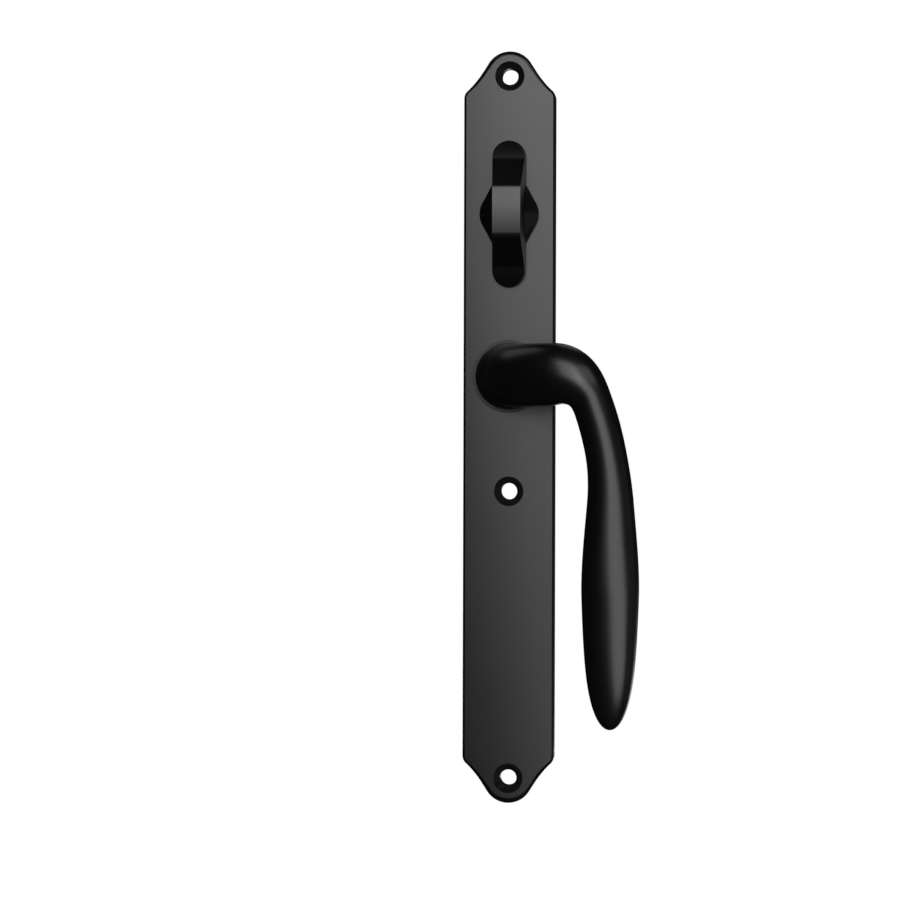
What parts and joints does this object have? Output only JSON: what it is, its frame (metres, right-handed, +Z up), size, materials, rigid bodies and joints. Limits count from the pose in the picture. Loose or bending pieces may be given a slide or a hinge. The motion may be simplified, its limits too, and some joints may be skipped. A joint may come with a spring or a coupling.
{
  "type": "lift and slide door handle",
  "caption": "Cranked lever handle and thumbturn on a long shouldered plate with countersunk screw holes, to work the lift gear and lock of a lift and slide door.",
  "frame": {"origin": "on the lever's axis, in the plane of the door face that the plate's back seats on", "axes": "+Z up along the plate, +Y into the door, +X right as seen from the room; the handle faces -Y"},
  "size_m": [0.076, 0.1198, 0.3203],
  "materials": {
    "black_coat": "satin black coat",
    "black_nylon": "moulded black nylon",
    "zinc_steel": "bright zinc plate",
    "black_steel": "blackened and oiled"
  },
  "bodies": {
    "plate": {"escutcheon_plate": "black_coat", "lever_bush": "black_nylon", "lever_thrust_washer": "black_nylon", "turn_bush": "black_nylon", "turn_thrust_washer": "black_nylon"},
    "lever": {"lever_handle": "black_coat", "lever_stop_washer": "zinc_steel", "lever_disc_spring": "zinc_steel", "lever_retaining_ring": "black_steel", "spindle": "zinc_steel", "spindle_set_screw": "black_steel"},
    "turn": {"thumbturn": "black_coat", "turn_stop_washer": "zinc_steel", "turn_disc_spring": "zinc_steel", "turn_retaining_ring": "black_steel", "turn_spindle": "zinc_steel", "turn_set_screw": "black_steel"}
  },
  "joints": [
    {"name": "lever_turn", "type": "hinge", "parent": "plate", "child": "lever", "pos_m": [0, 0, 0], "axis": [0, -1, 0], "range_deg": [0, 180]},
    {"name": "thumbturn_turn", "type": "hinge", "parent": "plate", "child": "turn", "pos_m": [0, 0, 0.069], "axis": [0, -1, 0], "range_deg": [0, 90]}
  ]
}
